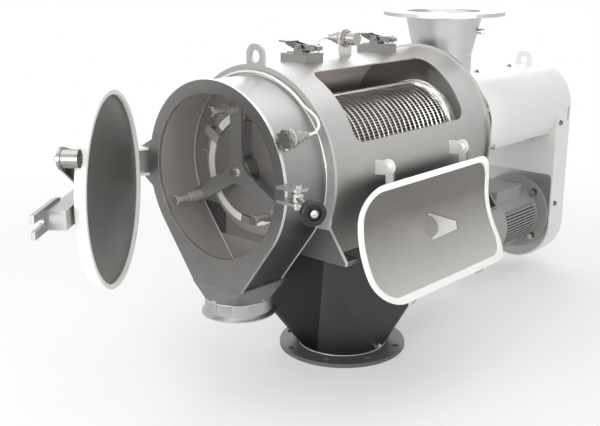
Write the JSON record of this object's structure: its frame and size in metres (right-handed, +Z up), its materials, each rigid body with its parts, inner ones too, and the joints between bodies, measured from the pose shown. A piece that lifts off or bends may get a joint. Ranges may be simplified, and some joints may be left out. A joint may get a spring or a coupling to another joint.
{
  "type": "centrifugal sieve",
  "caption": "centrifugal sieve with open reject door and open side inspection door, screw feed, belt-driven rotor, motor below, on a hopper with flanged outlet",
  "frame": {"origin": "centre of the product outlet flange, on its bottom face", "axes": "+Z up; +Y along the rotor axis from the reject door toward the belt drive; +X toward the side with the inspection door"},
  "size_m": [0.6344, 1.8466, 0.818],
  "materials": {
    "stainless": "bead-blasted stainless sheet",
    "machined_steel": "turned and ground stainless",
    "white_paint": "smooth white powder coat",
    "motor_grey": "smooth grey enamel",
    "white_plastic": "moulded white food-grade plastic",
    "black_plastic": "moulded black plastic",
    "cable_grey": "pale grey cable sheath",
    "silicone": "white food-grade silicone",
    "black_rubber": "black moulded rubber",
    "cast_iron": "turned grey iron",
    "sensor_grey": "nickel-plated threaded barrel"
  },
  "bodies": {
    "machine": {"main_shell": "stainless", "front_end_plate": "stainless", "rear_end_plate": "stainless", "feet": "stainless", "hopper": "stainless", "outlet_flange": "stainless", "reject_chamber": "stainless", "frame_plate": "stainless", "reject_spout": "stainless", "feed_housing": "stainless", "inlet_pipe": "stainless", "earth_studs": "machined_steel", "latch_bases": "stainless", "hinge_plates": "stainless", "bolt_clevis": "stainless", "sensors": "sensor_grey", "sensor_brackets": "machined_steel", "junction_box": "black_plastic", "sensor_cables": "cable_grey", "bearing_housing": "stainless", "bearings": "machined_steel", "shaft_seal": "silicone", "drive_frame": "stainless", "motor_plate": "stainless", "drive_cover": "white_paint", "belt_guard": "white_paint", "cover_screws": "machined_steel", "motor_frame": "motor_grey", "motor_flange": "motor_grey", "motor_box": "motor_grey", "fan_cowl": "motor_grey", "motor_bolts": "machined_steel", "basket_cage": "machined_steel", "basket_mesh": "machined_steel", "basket_ends": "white_plastic", "basket_seals": "white_plastic", "spider": "machined_steel", "pushers": "machined_steel", "drive_belts": "black_rubber"},
    "rotor": {"rotor_shaft": "machined_steel", "rotor_paddles": "machined_steel", "feed_screw": "machined_steel", "big_pulley": "cast_iron"},
    "motor_rotor": {"motor_shaft": "machined_steel", "motor_fan": "black_plastic", "small_pulley": "cast_iron"},
    "front_door": {"door_arm": "stainless", "door_disc": "stainless", "door_gasket": "silicone", "door_actuator": "machined_steel"},
    "side_door_body": {"side_door": "stainless", "side_gasket": "silicone"},
    "swing_bolt_body": {"swing_bolt": "machined_steel"},
    "washer_body": {"knob_washer": "machined_steel"},
    "knob_body": {"knob": "black_plastic"},
    "lever_a": {"latch_lever_a": "machined_steel"},
    "lever_b": {"latch_lever_b": "machined_steel"},
    "hook_a": {"latch_hook_a": "machined_steel"},
    "hook_b": {"latch_hook_b": "machined_steel"}
  },
  "joints": [
    {"name": "rotor_spin", "type": "hinge", "parent": "machine", "child": "rotor", "pos_m": [0, 0, 0.513], "axis": [0, 1, 0], "continuous": true},
    {"name": "motor_spin", "type": "hinge", "parent": "machine", "child": "motor_rotor", "pos_m": [0, 0.85, 0.178], "axis": [0, 1, 0], "continuous": true},
    {"name": "front_door_hinge", "type": "hinge", "parent": "machine", "child": "front_door", "pos_m": [-0.236, -0.464, 0.517], "axis": [0, 0, 1], "range_deg": [-57, 52.6]},
    {"name": "side_door_hinge", "type": "hinge", "parent": "machine", "child": "side_door_body", "pos_m": [0.2526, 0, 0.528], "axis": [0, 1, 0], "range_deg": [-209, 2]},
    {"name": "swing_bolt_pivot", "type": "hinge", "parent": "machine", "child": "swing_bolt_body", "pos_m": [0.25, -0.446, 0.517], "axis": [0, 0, 1], "range_deg": [-56.3, 20]},
    {"name": "knob_travel", "type": "slide", "parent": "swing_bolt_body", "child": "washer_body", "axis": [0.832, -0.5548, 0], "range_m": [-0.0368, 0]},
    {"name": "knob_spin", "type": "hinge", "parent": "washer_body", "child": "knob_body", "pos_m": [0.34401, -0.5087, 0.517], "axis": [0.832, -0.5548, 0], "range_deg": [-7570, 0]},
    {"name": "latch_a_lever", "type": "hinge", "parent": "machine", "child": "lever_a", "pos_m": [-0.004, -0.15, 0.764], "axis": [0, 1, 0], "range_deg": [0, 100]},
    {"name": "latch_b_lever", "type": "hinge", "parent": "machine", "child": "lever_b", "pos_m": [-0.004, 0.126, 0.764], "axis": [0, 1, 0], "range_deg": [0, 100]},
    {"name": "latch_a_hook", "type": "hinge", "parent": "lever_a", "child": "hook_a", "pos_m": [-0.0128, -0.15, 0.766], "axis": [0, 1, 0], "range_deg": [-100, 0]},
    {"name": "latch_b_hook", "type": "hinge", "parent": "lever_b", "child": "hook_b", "pos_m": [-0.0128, 0.126, 0.766], "axis": [0, 1, 0], "range_deg": [-100, 0]}
  ],
  "couplings": [
    {"joint": "motor_spin", "follows": "rotor_spin", "ratio": 2},
    {"joint": "knob_travel", "follows": "knob_spin", "m_per_rad": 0.00027852},
    {"joint": "latch_a_hook", "follows": "latch_a_lever", "ratio": -1},
    {"joint": "latch_b_hook", "follows": "latch_b_lever", "ratio": -1}
  ]
}
